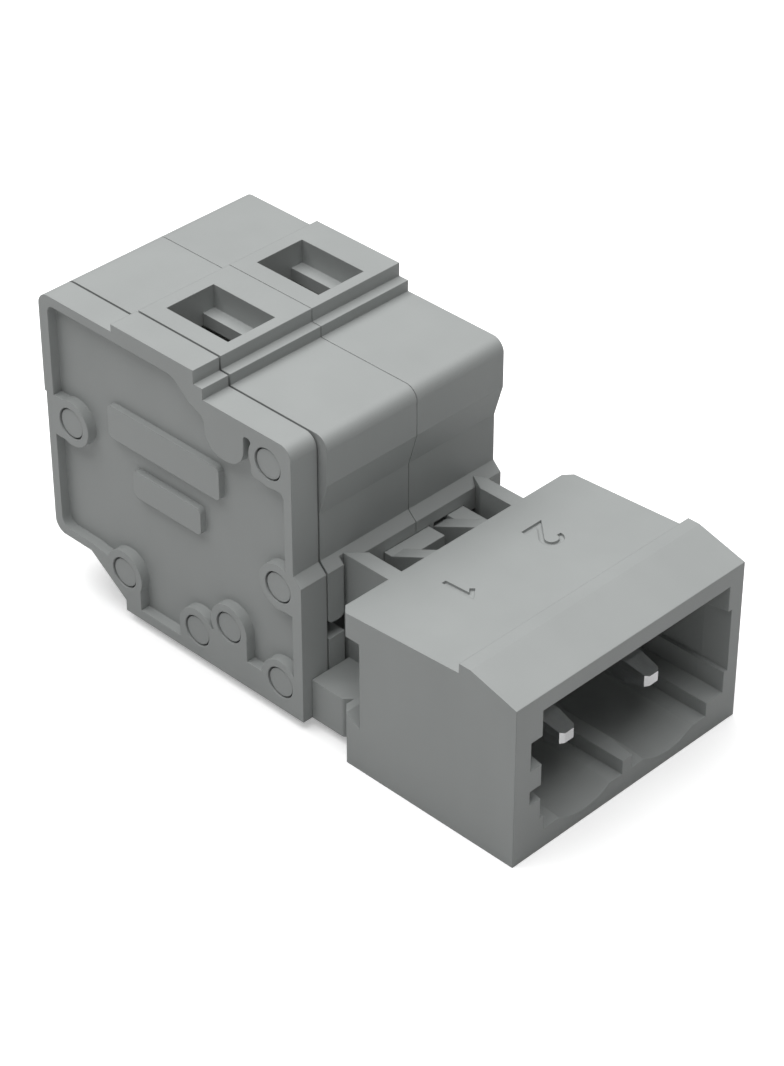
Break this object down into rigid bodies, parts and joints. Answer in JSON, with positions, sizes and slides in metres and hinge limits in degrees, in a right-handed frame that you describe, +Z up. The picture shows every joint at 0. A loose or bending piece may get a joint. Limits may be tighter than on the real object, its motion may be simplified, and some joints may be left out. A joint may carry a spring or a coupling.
{
  "type": "pluggable cage clamp connector",
  "caption": "Grey pluggable male wire connector: cage clamp modules with tool openings and an end plate, behind a shrouded pin header.",
  "frame": {"origin": "bottom centre of the whole connector's box, on the underside of the header", "axes": "+X towards the mouth of the header and the mating plug, +Y from the end plate along the poles, +Z up"},
  "size_m": [0.027, 0.0132, 0.0148],
  "materials": {
    "grey_plastic": "fine satin, moulded polyamide",
    "grey_header_plastic": "fine satin, moulded polyamide",
    "tinned_copper": "bright tin plating",
    "spring_steel": "rolled stainless spring strip"
  },
  "bodies": {
    "connector": {"header_housing": "grey_header_plastic", "end_plate": "grey_plastic", "clamp_module_1": "grey_plastic", "clamp_module_2": "grey_plastic", "current_bar_1": "tinned_copper", "current_bar_2": "tinned_copper", "cage_spring_base_1": "spring_steel", "cage_spring_base_2": "spring_steel"},
    "spring_arm_1": {"cage_spring_arm_1": "spring_steel"},
    "spring_arm_2": {"cage_spring_arm_2": "spring_steel"}
  },
  "joints": [
    {"name": "cage_spring_1", "type": "hinge", "parent": "connector", "child": "spring_arm_1", "pos_m": [-0.00424, -0.0028, 0.0088], "axis": [0, -1, 0], "range_deg": [0, 21], "stiffness_Nm_per_rad": 0.06, "springref_deg": -22.92},
    {"name": "cage_spring_2", "type": "hinge", "parent": "connector", "child": "spring_arm_2", "pos_m": [-0.00424, 0.0022, 0.0088], "axis": [0, -1, 0], "range_deg": [0, 21], "stiffness_Nm_per_rad": 0.06, "springref_deg": -22.92}
  ]
}
